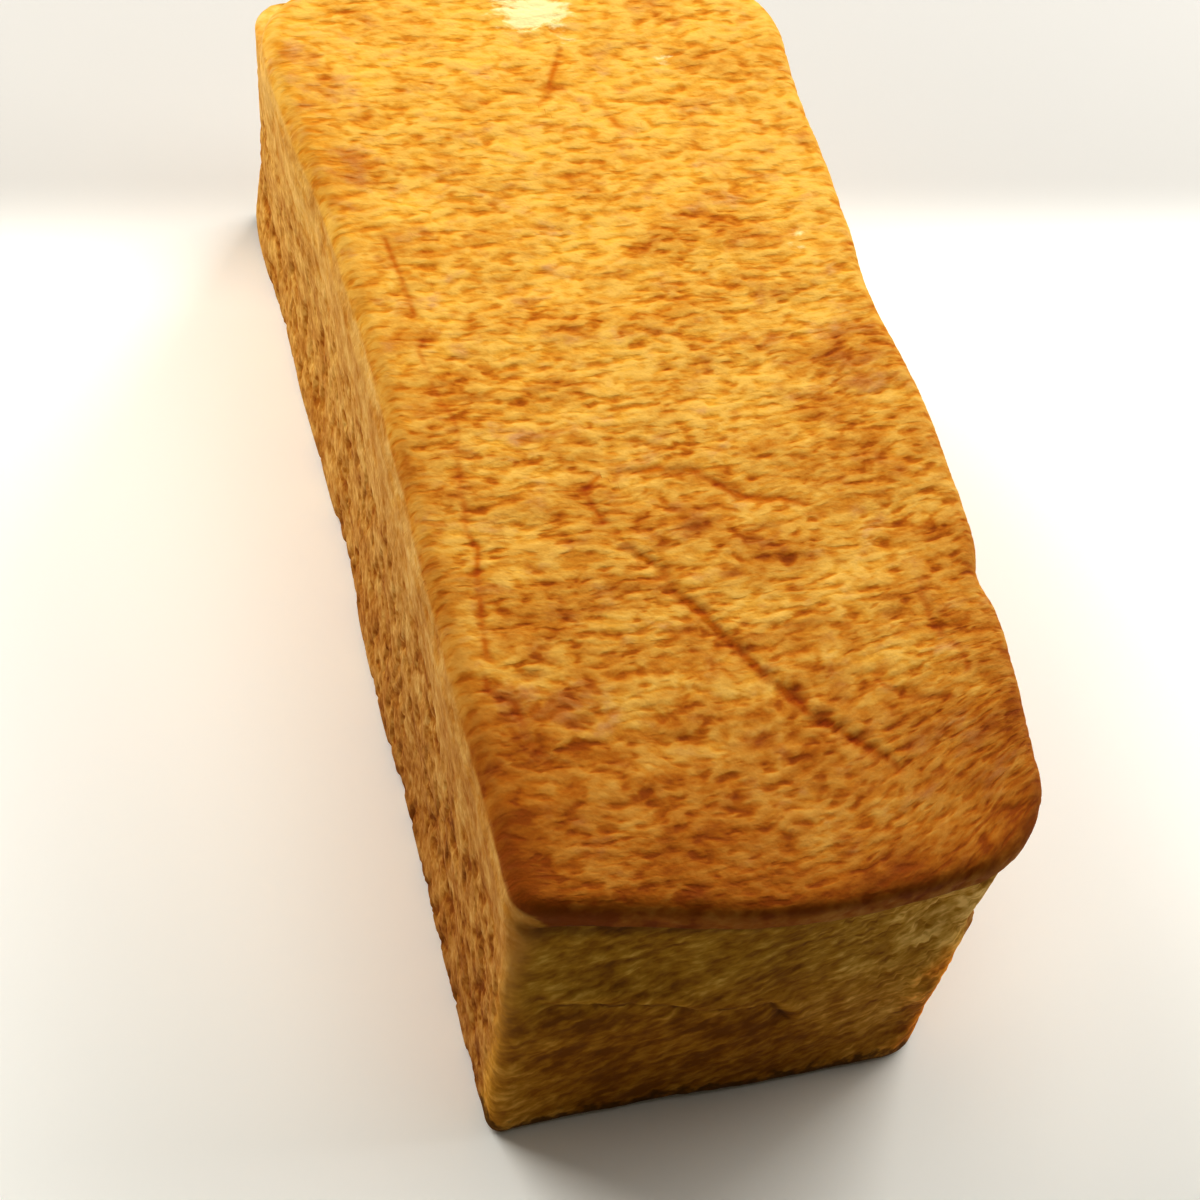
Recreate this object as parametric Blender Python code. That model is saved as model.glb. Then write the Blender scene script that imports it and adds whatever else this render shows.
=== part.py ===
"""Tin loaf: an uncut white loaf, baked in a lidded tin, so that its top is flat and its crust rim is rolled.

Metres, +Z up. The origin is on the ground below the middle of the loaf's box; the near end faces -Y.
"""

import math
from collections import namedtuple

import bmesh
import bpy
from mathutils import Vector
from mathutils import noise

MM = 0.001

# Driving dimensions.
LENGTH = 258 * MM
WIDTH = 124 * MM
HEIGHT = 91 * MM
RIM = 4 * MM  # radius of the rolled top edge
RIM_Z = HEIGHT - RIM  # height at which the rim is widest
LIP_BAND = 3 * MM  # the rim stays this far down at its widest
LIP_DEPTH = 3.5 * MM  # and below that, its lip has run out into the wall over this depth
WAIST = 1.0 * MM  # how far a wall sinks in at half height
BASE_EDGE = 1.6 * MM  # chamfer round the base

# How far each side stands from the tin's middle lines, in millimetres: the crust rim, with a bow of a height, a
# middle and a reach along the side; the top of the wall below the lip, with its share of the bow; and the foot,
# with its slope in plan. The lean is 1 for a straight wall, and more for one that draws in only near its top.
Side = namedtuple("Side", "rim bow bow_at bow_reach wall wall_bow foot slope lean")
SIDES = {
    "left": Side(58.9, 5.6, 104, 38, 59.8, 5.4, 52.6, 0.0, 1.0),
    "right": Side(61.2, 5.3, -36, 58, 55.6, 0.6, 52.6, 0.0, 1.0),
    "near": Side(123.6, 9.5, 8, 50, 121.7, 8.2, 130.4, -0.035, 2.2),
    "far": Side(122.7, 6.0, 0, 50, 127.5, 1.0, 130.4, 0.01, 1.0),
}

# Plan radius of each upright corner in millimetres: at the crust rim, at the top of the wall and at the foot.
CORNERS = {
    ("left", "near"): (7, 5, 4),
    ("right", "near"): (21, 10, 12),
    ("left", "far"): (14, 8, 5),
    ("right", "far"): (24, 12, 9),
}

# Hollows of the sides in millimetres: side, place along it, height, reach, depth. A negative depth swells.
DENTS = (
    ("right", -58, 87, 7, 2.2),
    ("right", 26, 87, 11, 1.2),
    ("right", -70, 78, 12, -1.2),
    ("right", -104, 64, 9, 1.6),
    ("right", -121, 58, 6, 3.8),
    ("right", -121, 49, 4, -1.8),
    ("right", -106, 46, 6, -1.4),
    ("right", 20, 48, 30, 1.6),
    ("right", 84, 30, 18, 1.2),
    ("left", 42, 8, 28, 0.9),
    ("left", 114, 8, 12, -1.3),
    ("left", 70, 26, 14, 1.2),
    ("left", 22, 6, 10, 0.9),
    ("left", -22, 8, 12, -0.7),
    ("left", -62, 20, 16, 1.0),
    ("near", 46, 68, 9, 2.6),
    ("near", 52, 34, 7, -1.2),
    ("near", 48, 16, 6, 1.2),
    ("near", -12, 47, 26, -1.0),
    ("near", -30, 22, 18, 0.8),
    ("far", -30, 60, 22, 1.2),
    ("far", 25, 35, 24, -1.0),
)

# Folds and cracks pressed into the top crust, as points in millimetres, each run with its width and depth.
TOP_FOLDS = (
    (2.6, 1.0, ((-48, 51), (-47, 31), (-46.5, 11), (-47, -16), (-47.5, -32), (-49.5, -55), (-50, -73))),
    (2.4, 0.9, ((-50, -74), (-47.5, -86), (-43, -94))),
    (2.2, 0.8, ((49, -64), (52, -78), (51, -88))),
    (2.8, 1.5, ((-18.5, -25), (-18, -33), (-14.5, -40), (-2, -58.5), (7, -75), (19, -89.5), (32, -106))),
    (2.2, 1.0, ((-18.5, -25), (-11, -22), (7, -24), (15, -29), (28, -33))),
    (2.0, 0.8, ((5, 100), (0, 88), (-5, 83))),
    (2.0, 0.7, ((11, 82), (18, 72))),
)
# The torn fold of the near end, as points across and up.
WALL_FOLDS = ((2.2, 0.8, ((-36, 51), (-19, 47), (-9, 41), (2, 41), (11, 33))),)

FOLD_END = 0.5  # a fold's width at its ends, as a share of its full width

# Grid of the crust.
RIM_STEPS = 4  # grid lines across the rolled edge
CELL_X = 5.2 * MM
CELL_Y = 5.2 * MM
CELL_Z = 7.2 * MM
TOUCH = 0.01 * MM  # anything closer than this to a plane lies on it
TOP_SWELL = 0.7 * MM  # height of the top's slow swells
SWELL_SIZE = 42 * MM
WALL_SWELL = 0.9 * MM  # how far the walls wander in and out
WALL_SWELL_SIZE = 26 * MM
SWELL_SEED = 3.7  # which slice of the noise the swells come from
SIDE_SEEDS = {"left": 11.3, "right": 23.9, "near": 37.1, "far": 51.7}

CRUST_COLOUR = (0.56, 0.25, 0.055, 1.0)
CRUST_ROUGHNESS = 0.72


def smooth(value):
    """Smoothstep of a value held between 0 and 1."""
    held = min(1.0, max(0.0, value))
    return held * held * (3 - 2 * held)


def mix(low, high, share):
    return low + (high - low) * share


def bell(distance, reach):
    """1 at no distance, and all but gone at twice the reach."""
    return math.exp(-((distance / reach) ** 2))


def grid_lines(half, cell):
    """Cutting places from one rim to the other: close over the rolled edges, even between them."""
    rim = [RIM * (1 - math.cos(math.radians(90 * k / RIM_STEPS))) for k in range(1, RIM_STEPS + 1)]
    inner = half - RIM
    count = round(2 * inner / cell)
    middle = [-inner + 2 * inner * k / count for k in range(1, count)]
    return [-half + e for e in rim] + middle + [half - e for e in rim]


def height_lines():
    """Cutting places up the wall, before it is drawn down to RIM_Z: the base's edge, even rows, the lip's rows."""
    lip = [RIM_Z - LIP_BAND - share * LIP_DEPTH for share in (1.0, 0.65, 0.35, 0.0)]
    count = round((lip[0] - BASE_EDGE) / CELL_Z)
    even = [mix(BASE_EDGE, lip[0], k / count) for k in range(count)]
    return [z * HEIGHT / RIM_Z for z in even + lip]


def lip_share(z):
    """1 where the crust rim is widest, 0 on the plain wall below its lip."""
    return 1 - smooth((RIM_Z - LIP_BAND - z) / LIP_DEPTH)


def rounded_plan(x, y, z):
    """Turn the box's square corner into an arc."""
    sides = ("left" if x < 0 else "right", "near" if y < 0 else "far")
    at_rim, at_wall, at_foot = CORNERS[sides]
    radius = mix(mix(at_foot, at_wall, z / RIM_Z), at_rim, lip_share(z)) * MM
    dx = (abs(x) - (WIDTH / 2 - radius)) / radius
    dy = (abs(y) - (LENGTH / 2 - radius)) / radius
    if dx <= 0 or dy <= 0:
        return x, y
    pull = max(dx, dy) / math.hypot(dx, dy)
    x_new = WIDTH / 2 - radius + dx * pull * radius
    y_new = LENGTH / 2 - radius + dy * pull * radius
    return math.copysign(x_new, x), math.copysign(y_new, y)


def stand(name, along, z):
    """How far a side stands from the loaf's middle line, at a place along it and a height."""
    side = SIDES[name]
    place = along / MM
    up = min(1.0, z / RIM_Z)
    bow = bell(place - side.bow_at, side.bow_reach)
    foot = side.foot + side.slope * place
    wall = mix(foot, side.wall + side.wall_bow * bow, up ** side.lean)
    wall -= WAIST / MM * math.sin(math.pi * up)
    out = mix(wall, side.rim + side.bow * bow, lip_share(z))
    if z < BASE_EDGE:
        out -= (BASE_EDGE - z) / MM
    for dent_side, at, height, reach, depth in DENTS:
        if dent_side == name:
            out -= depth * bell(math.hypot(place - at, z / MM - height), reach)
    slice_ = Vector((along / WALL_SWELL_SIZE, z / WALL_SWELL_SIZE, SIDE_SEEDS[name]))
    return out * MM + WALL_SWELL * noise.noise(slice_)


def top_height(x, y):
    """The slow swells of the flat top."""
    return TOP_SWELL * noise.noise(Vector((x / SWELL_SIZE, y / SWELL_SIZE, SWELL_SEED)))


def shaped(point):
    """Where a point of the plain box goes on the loaf."""
    x, y, z = point
    inset = max(0.0, min(WIDTH / 2 - abs(x), LENGTH / 2 - abs(y)))
    z_new = z * RIM_Z / HEIGHT
    if z > HEIGHT - TOUCH:
        turn = math.acos(max(0.0, 1 - inset / RIM))
        z_new = RIM_Z + RIM * math.sin(turn) + top_height(x, y) * smooth(inset / (2 * RIM))
    level = min(z_new, RIM_Z)
    x_new, y_new = rounded_plan(x, y, level)
    x_scale = stand("left" if x < 0 else "right", y_new, level) / (WIDTH / 2)
    y_scale = stand("near" if y < 0 else "far", x_new, level) / (LENGTH / 2)
    return Vector((x_new * x_scale, y_new * y_scale, z_new))


def crust_material():
    material = bpy.data.materials.new("crust")
    material.use_nodes = True
    shader = material.node_tree.nodes["Principled BSDF"]
    shader.inputs["Base Color"].default_value = CRUST_COLOUR
    shader.inputs["Roughness"].default_value = CRUST_ROUGHNESS
    shader.inputs["Metallic"].default_value = 0.0
    return material


def make_loaf(collection):
    """The whole loaf as one gridded box drawn into shape, and the shift that put its middle on the origin."""
    bpy.ops.mesh.primitive_cube_add(size=1, location=(0, 0, HEIGHT / 2), scale=(WIDTH, LENGTH, HEIGHT))
    loaf = bpy.context.object
    loaf.name = "loaf"
    bpy.ops.object.transform_apply(location=True, rotation=False, scale=True)
    for owner in loaf.users_collection:
        owner.objects.unlink(loaf)
    collection.objects.link(loaf)

    crust = bmesh.new()
    crust.from_mesh(loaf.data)
    cuts = [((1, 0, 0), (x, 0, 0)) for x in grid_lines(WIDTH / 2, CELL_X)]
    cuts += [((0, 1, 0), (0, y, 0)) for y in grid_lines(LENGTH / 2, CELL_Y)]
    cuts += [((0, 0, 1), (0, 0, z)) for z in height_lines()]
    for normal, place in cuts:
        everything = crust.verts[:] + crust.edges[:] + crust.faces[:]
        bmesh.ops.bisect_plane(crust, geom=everything, plane_co=place, plane_no=normal)
    base = [face for face in crust.faces if face.calc_center_median().z < TOUCH]
    bmesh.ops.dissolve_faces(crust, faces=base, use_verts=False)
    for vertex in crust.verts:
        vertex.co = shaped(vertex.co)
    low = [min(v.co[axis] for v in crust.verts) for axis in range(2)]
    high = [max(v.co[axis] for v in crust.verts) for axis in range(2)]
    shift = Vector((-(low[0] + high[0]) / 2, -(low[1] + high[1]) / 2, 0))
    bmesh.ops.translate(crust, verts=crust.verts[:], vec=shift)
    crust.to_mesh(loaf.data)
    crust.free()
    loaf.data.materials.append(crust_material())
    loaf.data.shade_smooth()
    return loaf, shift


def fold_cutter(name, points, width, collection):
    """A round bar along a fold, which presses its line into the crust."""
    curve = bpy.data.curves.new(name, "CURVE")
    curve.dimensions = "3D"
    curve.bevel_depth = width / 2
    curve.bevel_resolution = 1
    curve.use_fill_caps = True
    spline = curve.splines.new("POLY")
    spline.points.add(len(points) - 1)
    for target, point in zip(spline.points, points):
        target.co = (*point, 1.0)
    for end in (spline.points[0], spline.points[-1]):
        end.radius = FOLD_END
    rail = bpy.data.objects.new(name + "_rail", curve)
    collection.objects.link(rail)
    bpy.context.view_layer.update()
    evaluated = rail.evaluated_get(bpy.context.evaluated_depsgraph_get())
    mesh = bpy.data.meshes.new_from_object(evaluated)
    bar = bmesh.new()
    bar.from_mesh(mesh)
    bmesh.ops.remove_doubles(bar, verts=bar.verts[:], dist=1e-6)
    bmesh.ops.recalc_face_normals(bar, faces=bar.faces[:])
    bar.to_mesh(mesh)
    bar.free()
    cutter = bpy.data.objects.new(name, mesh)
    cutter.matrix_world = rail.matrix_world
    bpy.data.objects.remove(rail)
    cutter.hide_render = True
    cutter.display_type = "WIRE"
    collection.objects.link(cutter)
    return cutter


def press_folds(loaf, shift, collection):
    """Cut every fold and crack into the crust."""
    cutters = []
    for width, depth, places in TOP_FOLDS:
        lift = (width / 2 - depth) * MM
        points = []
        for x, y in places:
            z = HEIGHT + top_height(x * MM, y * MM) + lift
            points.append(Vector((x * MM, y * MM, z)) + shift)
        cutters.append(fold_cutter(f"top_fold_{len(cutters)}", points, width * MM, collection))
    for width, depth, places in WALL_FOLDS:
        lift = (width / 2 - depth) * MM
        points = []
        for x, z in places:
            face = -stand("near", x * MM, z * MM) - lift
            points.append(Vector((x * MM, face, z * MM)) + shift)
        cutters.append(fold_cutter(f"wall_fold_{len(cutters)}", points, width * MM, collection))
    for cutter in cutters:
        cut = loaf.modifiers.new(cutter.name, "BOOLEAN")
        cut.operation = "DIFFERENCE"
        cut.solver = "EXACT"
        cut.object = cutter


def main():
    for old in list(bpy.data.objects):
        bpy.data.objects.remove(old)
    parts = bpy.data.collections.new("tin_loaf")
    tools = bpy.data.collections.new("fold_cutters")
    bpy.context.scene.collection.children.link(parts)
    bpy.context.scene.collection.children.link(tools)
    loaf, shift = make_loaf(parts)
    press_folds(loaf, shift, tools)


main()
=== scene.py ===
"""Looks of the tin loaf: its baked crust, wrinkled top, rolled rim and paler walls, on a plain studio floor.

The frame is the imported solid: metres, +Z up, the near end faces -Y. Lengths below are in millimetres.
"""

import math
from collections import namedtuple

import bmesh
import bpy
import numpy as np
from mathutils import Matrix, Vector, noise


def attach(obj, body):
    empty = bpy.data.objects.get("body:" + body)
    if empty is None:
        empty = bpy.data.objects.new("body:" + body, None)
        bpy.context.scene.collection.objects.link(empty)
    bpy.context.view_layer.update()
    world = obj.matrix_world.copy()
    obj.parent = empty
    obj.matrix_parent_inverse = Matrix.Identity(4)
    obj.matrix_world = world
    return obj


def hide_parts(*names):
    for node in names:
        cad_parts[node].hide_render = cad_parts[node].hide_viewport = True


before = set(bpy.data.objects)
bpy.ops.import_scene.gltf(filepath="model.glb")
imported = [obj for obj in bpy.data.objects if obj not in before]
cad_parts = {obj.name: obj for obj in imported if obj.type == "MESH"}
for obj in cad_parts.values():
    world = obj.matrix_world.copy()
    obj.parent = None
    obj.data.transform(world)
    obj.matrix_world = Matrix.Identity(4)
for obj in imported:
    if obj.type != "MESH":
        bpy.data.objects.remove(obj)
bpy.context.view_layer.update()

MM = 0.001

# ---------------------------------------- sizes of the loaf, as the solid has them

LENGTH = 258
WIDTH = 124
HEIGHT = 91
RIM = 4  # radius of the rolled top edge
RIM_Z = HEIGHT - RIM  # height at which the rim is widest
LIP_BAND = 3.0  # the rim stays this far down at its widest
LIP_DEPTH = 2.6  # and below that, the lip has run out into the wall over this depth
CREASE_Z = RIM_Z - LIP_BAND - 1.8  # the sharp line where the lip meets the wall
WAIST = 1.0  # how far a wall sinks in at half height
BASE_EDGE = 1.6  # chamfer round the base
MIDDLE = (0.77, -1.14)  # where the middle of the solid's box is, from the tin's middle lines
TOUCH = 1e-3  # a point closer than this to a plane lies on it

# How far each side stands from the tin's middle lines: the crust rim, with a bow of a height, a middle and a
# reach along the side; the top of the wall below the lip, with its share of the bow; and the foot, with its
# slope in plan. The lean is 1 for a straight wall, and more for one that draws in only near its top.
Side = namedtuple("Side", "rim bow bow_at bow_reach wall wall_bow foot slope lean")
SIDES = {
    "left": Side(58.9, 5.6, 104, 38, 59.8, 5.4, 52.6, 0.0, 1.0),
    "right": Side(61.2, 5.3, -36, 58, 55.6, 0.6, 52.6, 0.0, 1.0),
    "near": Side(123.6, 9.5, 8, 50, 121.7, 8.2, 130.4, -0.035, 2.2),
    "far": Side(122.7, 6.0, 0, 50, 127.5, 1.0, 130.4, 0.01, 1.0),
}

# Plan radius of each upright corner: at the crust rim, at the top of the wall and at the foot.
CORNERS = {
    ("left", "near"): (7, 5, 4),
    ("right", "near"): (21, 10, 12),
    ("left", "far"): (14, 8, 5),
    ("right", "far"): (24, 12, 9),
}

# Hollows of the sides: side, place along it, height, reach, depth. A negative depth swells.
DENTS = (
    ("right", -58, 87, 7, 2.2),
    ("right", 26, 87, 11, 1.2),
    ("right", -70, 78, 12, -1.2),
    ("right", -104, 64, 9, 1.6),
    ("right", -121, 58, 6, 3.8),
    ("right", -121, 49, 4, -1.8),
    ("right", -106, 46, 6, -1.4),
    ("right", 20, 48, 30, 1.6),
    ("right", 84, 30, 18, 1.2),
    ("left", 42, 8, 28, 0.9),
    ("left", 114, 8, 12, -1.3),
    ("left", 70, 26, 14, 1.2),
    ("left", 22, 6, 10, 0.9),
    ("left", -22, 8, 12, -0.7),
    ("left", -62, 20, 16, 1.0),
    ("near", 46, 68, 9, 2.6),
    ("near", 52, 34, 7, -1.2),
    ("near", 48, 16, 6, 1.2),
    ("near", -12, 47, 26, -1.0),
    ("near", -30, 22, 18, 0.8),
    ("far", -30, 60, 22, 1.2),
    ("far", 25, 35, 24, -1.0),
)

# The near edge is rolled tighter over its middle: from how far along, over what length, middle and reach.
TIGHT_FROM, TIGHT_OVER = -110, 12
TIGHT_AT, TIGHT_REACH = 12, 44
TIGHT_POWER = 0.45  # 1 is a round roll

TOP_SWELL = 0.7  # height of the top's slow swells
SWELL_SIZE = 42
WALL_SWELL = 0.9  # how far the walls wander in and out
WALL_SWELL_SIZE = 26
SWELL_SEED = 3.7  # which slice of the noise the swells come from
SIDE_SEEDS = {"left": 11.3, "right": 23.9, "near": 37.1, "far": 51.7}

# ---------------------------------------- fine features

# Folds and cracks of the top crust: width, depth, drop of the right-hand side, darkness of their painted
# shade, then points.
Fold = namedtuple("Fold", "width depth drop dark points")
TOP_FOLDS = (
    Fold(0.75, 0.18, 0.1, 0.7, ((-49, 50), (-48.4, 45), (-47.8, 41), (-47.2, 36), (-47.2, 29), (-46.5, 25))),
    Fold(0.7, 0.12, 0, 0.5, ((-43.7, 23), (-46.2, 19), (-48, 16), (-47.5, 10), (-46, 2), (-44, -4),
                             (-45.7, -13))),
    Fold(0.85, 0.2, 0.1, 0.75, ((-45.7, -12), (-47.2, -24), (-48.5, -32), (-47, -37), (-48.3, -43),
                                (-49.5, -50), (-50, -54), (-50.7, -60), (-51, -64), (-49.6, -67))),
    Fold(0.9, 0.2, 0.25, 0.7, ((-52.7, -68), (-53.1, -72.4), (-50.8, -74.5), (-48, -76), (-47.6, -79.4),
                               (-47.4, -83), (-46.4, -88), (-43, -91))),
    Fold(1.0, 0.15, 0.1, 0.5, ((47.5, -59), (48.3, -63), (48.7, -70), (51, -73), (52.8, -75.5), (53, -83))),
    Fold(0.8, 0.12, 0.1, 0.5, ((37, -76), (31.7, -80), (33, -83), (36, -85), (39, -86.5), (44, -87),
                               (49, -88))),
    Fold(0.9, 0.15, 0.1, 0.8, ((-15, -21), (-20, -25), (-19, -29), (-18.4, -32), (-17.3, -35))),
    Fold(1.05, 0.32, 0.35, 1, ((-16.5, -38.5), (-14.6, -40.8), (-10, -45.3), (-7.8, -48), (-6.8, -52.8),
                               (-4.8, -56), (-2, -59.4), (0, -63.5), (3.2, -68.8), (6.1, -73), (7.9, -77.3),
                               (10.9, -80.3), (13, -84.2), (15, -87.4), (19.5, -91.5), (24, -95.8),
                               (28, -99.5), (32, -106))),
    Fold(0.95, 0.2, 0.15, 0.9, ((-12, -20.8), (-5, -21.7), (-1.6, -21.5), (3, -21.8), (6.5, -22.8),
                                (9.3, -25.8), (13.6, -29.8), (16.2, -31.2), (20, -31.7), (23.6, -32),
                                (30, -35))),
    Fold(0.85, 0.18, 0.1, 0.8, ((6, 101), (4.4, 97.6), (2.9, 94.7), (0.3, 90), (-1.2, 85.8), (-5, 82.6))),
    Fold(0.85, 0.15, 0.1, 0.7, ((10.5, 83), (12, 79.4), (13.4, 75.6), (18, 72.8))),
)
# Hollows of the top crust, drawn out across it: middle, half length, half width and strength of their depth
# and painted shade.
Hollow = namedtuple("Hollow", "x y across along strength")
HOLLOWS = tuple(Hollow(*row) for row in (
    (-38, 2, 4.5, 1.1, 1.0), (-45, 7, 2.2, 1.0, 0.8), (-29, 8, 3.2, 0.9, 0.6), (-24, 3, 3.2, 0.9, 0.5),
    (-26, 34, 3.8, 1.1, 0.5), (-38, 14, 2.8, 0.9, 0.6), (-17, 40, 2.2, 0.9, 0.5), (-4, -14, 3.2, 1.0, 0.5),
    (-11, -18, 3.2, 0.9, 0.5), (7, -36, 3.2, 1.2, 0.8), (2, -38, 3.0, 1.6, 0.9), (19, -39, 3.6, 1.1, 0.7),
    (-7, -42, 4.8, 1.5, 0.8), (-14, -41, 2.2, 1.2, 0.8), (-25, -39, 2.8, 1.0, 0.5),
    (-18, -34, 2.2, 1.3, 0.7), (23, -48, 5.0, 1.0, 0.6), (14, -43, 3.2, 0.9, 0.5), (32, -22, 3.2, 0.9, 0.5),
    (-18, -51, 5.0, 0.9, 0.5), (-24, -56, 5.0, 0.9, 0.5), (19, -65, 4.8, 1.0, 0.7),
    (12, -64, 2.6, 0.9, 0.5), (9, -67, 3.0, 0.9, 0.6), (7, -63, 1.2, 0.9, 0.7), (2, -93, 3.2, 1.2, 0.8),
    (-4, -93, 3.2, 0.9, 0.5), (-12, -78, 4.2, 0.9, 0.5), (-43, -70, 4.2, 1.1, 0.9),
    (-38, -62, 2.6, 0.9, 0.6), (-34, -82, 3.0, 1.3, 0.8), (40, -61, 2.4, 1.2, 0.7),
    (41, -65, 2.4, 1.2, 0.8), (23, -85, 2.2, 1.1, 0.6),
    # Pits along the right of the long crack.
    (-1.2, -58.4, 1.4, 1.2, 0.9), (4.9, -69.6, 1.3, 1.2, 1.0), (8, -75.6, 1.4, 1.2, 0.8),
    (13.8, -82, 2.2, 1.6, 1.1), (17.8, -87.6, 2.6, 1.6, 1.2), (21, -91, 1.8, 1.0, 0.8),
    (24, -94, 2.0, 1.0, 0.8),
))
# The torn fold of the near end, as points across and up.
END_FOLD = Fold(0.9, 0.9, 0.8, 0.9, ((-50, 53), (-36, 51), (-19, 47), (-10, 41.5), (-1, 40), (6, 40.5),
                                     (11, 32), (14, 27)))
FOLD_WOBBLE = 0.4  # how far the line of a fold strays
NO_FOLD = 9.0  # what a point far from every fold has for its distance, in widths of a fold
END_TILT = math.radians(30)  # how steeply the crumb of the end walls rises to the right

# Spots of the top crust: kind, middle, half length across, half length along, strength.
Spot = namedtuple("Spot", "kind x y across along strength")
TOP_SPOTS = (
    Spot("pale", 1, 112, 11, 8, 1.0),
    Spot("pale", 7, 103, 5, 3, 0.5),
    Spot("pale", 29, 94, 7, 3, 0.45),
    Spot("pale", 48, 38, 5, 8, 0.45),
    Spot("pale", 14, -12, 9, 5, 0.3),
    Spot("brown", 50, 3, 8, 9, 0.9),
    Spot("brown", -52, 68, 9, 8, 0.7),
    Spot("brown", -39, -79, 10, 6, 0.9),
    Spot("brown", -55, 96, 8, 12, 0.5),
    Spot("brown", 30, 48, 10, 5, 0.4),
    Spot("brown", 3.6, -37, 7, 3, 0.8),
    Spot("brown", 20, -47, 8, 3, 0.5),
    Spot("brown", 45, -100, 14, 9, 0.5),
    Spot("brown", -30, -10, 12, 4, 0.4),
    Spot("brown", -48, 20, 5, 8, 0.5),
)

# How darkly the top baked along its length: places, with 1 for the darkest and 0 for golden.
BAKED_ALONG = ((-130, 1.18), (-102, 0.96), (-73, 0.58), (-20, 0.49), (19, 0.25), (70, 0.03), (125, 0.0))
# Where the rim baked darker still: middle, reach and amount.
DARK_CORNERS = ((-54, -120, 19, 1.2), (54, -122, 19, 0.8), (-58, -90, 15, 0.7))
HIGHLIGHT_CORNER = (-58, -127, 4.5)  # the upright near left corner, paler with a painted highlight: middle and reach

# Colours of the crust, as shares of red, green and blue light given back, darkest first.
TOP_SHADES = ((0.30, 0.085, 0.002), (0.43, 0.155, 0.009), (0.54, 0.25, 0.033), (0.62, 0.345, 0.066),
              (0.70, 0.43, 0.102))
SIDE_SHADES = ((0.25, 0.08, 0.005), (0.38, 0.158, 0.022), (0.49, 0.25, 0.056), (0.60, 0.365, 0.12),
               (0.71, 0.48, 0.20))
END_SHADES = ((0.22, 0.085, 0.001), (0.34, 0.155, 0.004), (0.46, 0.25, 0.018), (0.62, 0.385, 0.075),
              (0.82, 0.58, 0.18))
CREAM = (0.75, 0.62, 0.33)
# Painted highlight of the upright near left corner.
CORNER_HIGHLIGHT_COLOUR = (0.60, 0.32, 0.06)
FOOT_BROWN = (0.10, 0.04, 0.004)
# What a shade is multiplied by.
VALLEY_SHADING_TINT = (1.0, 0.87, 0.42)  # painted: the warm light bounced about in the shaded valleys of the top and the pits of the walls
TOASTED_TINT = (0.83, 0.82, 1.0)  # where the top baked longest
PLUM_TINT = (0.84, 0.74, 1.15)  # where it baked matte and mauve
GOLDEN_TINT = (1.0, 0.93, 0.70)  # towards the far end of the long walls
LOW_END_TINT = (1.03, 0.91, 0.82)  # low on the end walls
HIGH_END_LIGHT_TINT = (1.08, 1.05, 1.25)  # painted light high on the right of the end walls
EDGE_LIGHT_TINT = (1.5, 1.08, 0.5)  # painted light low on their right edge
# Painted shade in the folds and cracks, warm as light bounced in them.
FOLD_SHADE_TINT = (0.78, 0.46, 0.06)
# Painted shade in the top's hollows.
HOLLOW_SHADE_TINT = (0.62, 0.39, 0.10)
# Painted shadow below the torn flap of the near end.
END_FOLD_SHADOW_TINT = (0.5, 0.42, 0.35)
LIP_SHADOW_TINT = (0.54, 0.45, 0.12)  # painted shadow under the lip

COLUMNS, ROWS, TIERS = 100, 400, 50  # cells of the crust across, along and up
RIM_CELLS = 7  # of them over each rolled edge
LIP_CELLS = 12  # and over the lip
BANDS = 20  # the rows are cut in two steps, in this many bands first
BASE_RING = (0.96, 0.98, 1)  # the base's inner ring, as a share of its edge

MAP_GAP = 4.0  # between the rectangles of the piece's map
BASE_SHARE = 0.33  # scale of the base on the map, because it is hardly seen

# The camera: degrees round the loaf from its near end, degrees up, degrees of roll, and its place.
AZIMUTH, ELEVATION, ROLL = -29.07, 54.81, 18.07
CAMERA_PLACE = (-258.4, -473.6, 774.5)
LENS, SENSOR = 117.0, 36

PALE_FLOOR = (0.95, 0.925, 0.885, 1)
# Painted soft shadow on the floor behind the loaf.
FLOOR_SHADOW = (0.53, 0.505, 0.48, 1)
WHITE_LIGHT = (0.98, 1.0, 0.985)
WARM_LIGHT = (1.0, 0.93, 0.72)
# Soft lights: name, place and aim in metres, size, power and colour.
LIGHTS = (
    ("back_left", (-0.6, 0.65, 0.6), (0, 0.05, 0), (0.7, 0.6), 12.9, WHITE_LIGHT),
    ("back_right", (0.7, 0.6, 0.6), (0, 0.05, 0), (0.7, 0.6), 9.3, WHITE_LIGHT),
    ("right", (1.0, 0.1, 0.45), (0, 0, 0.03), (0.6, 0.6), 6.4, WHITE_LIGHT),
    ("overhead", (0.1, 0.15, 1.1), (0, 0, 0), (0.8, 0.8), 3.7, WHITE_LIGHT),
    ("front_left", (-0.8, -0.8, 0.5), (0, 0, 0.03), (0.6, 0.6), 1.85, WARM_LIGHT),
)


# ---------------------------------------- small helpers


def smooth(value):
    """Smoothstep of values held between 0 and 1."""
    held = np.clip(value, 0.0, 1.0)
    return held * held * (3 - 2 * held)


def mix(low, high, share):
    return low + (high - low) * share


def bell(distance, reach):
    """1 at no distance, and all but gone at twice the reach."""
    return np.exp(-((distance / reach) ** 2))


def slow_noise(u, v, seed):
    """Smooth noise from -1 to 1 over two coordinates."""
    return np.array([noise.noise((a, b, seed)) for a, b in zip(u, v)])


# ---------------------------------------- form of the loaf


def lip_share(z):
    """1 where the crust rim is widest, 0 on the plain wall below its lip."""
    return 1 - smooth((RIM_Z - LIP_BAND - z) / LIP_DEPTH)


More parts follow.
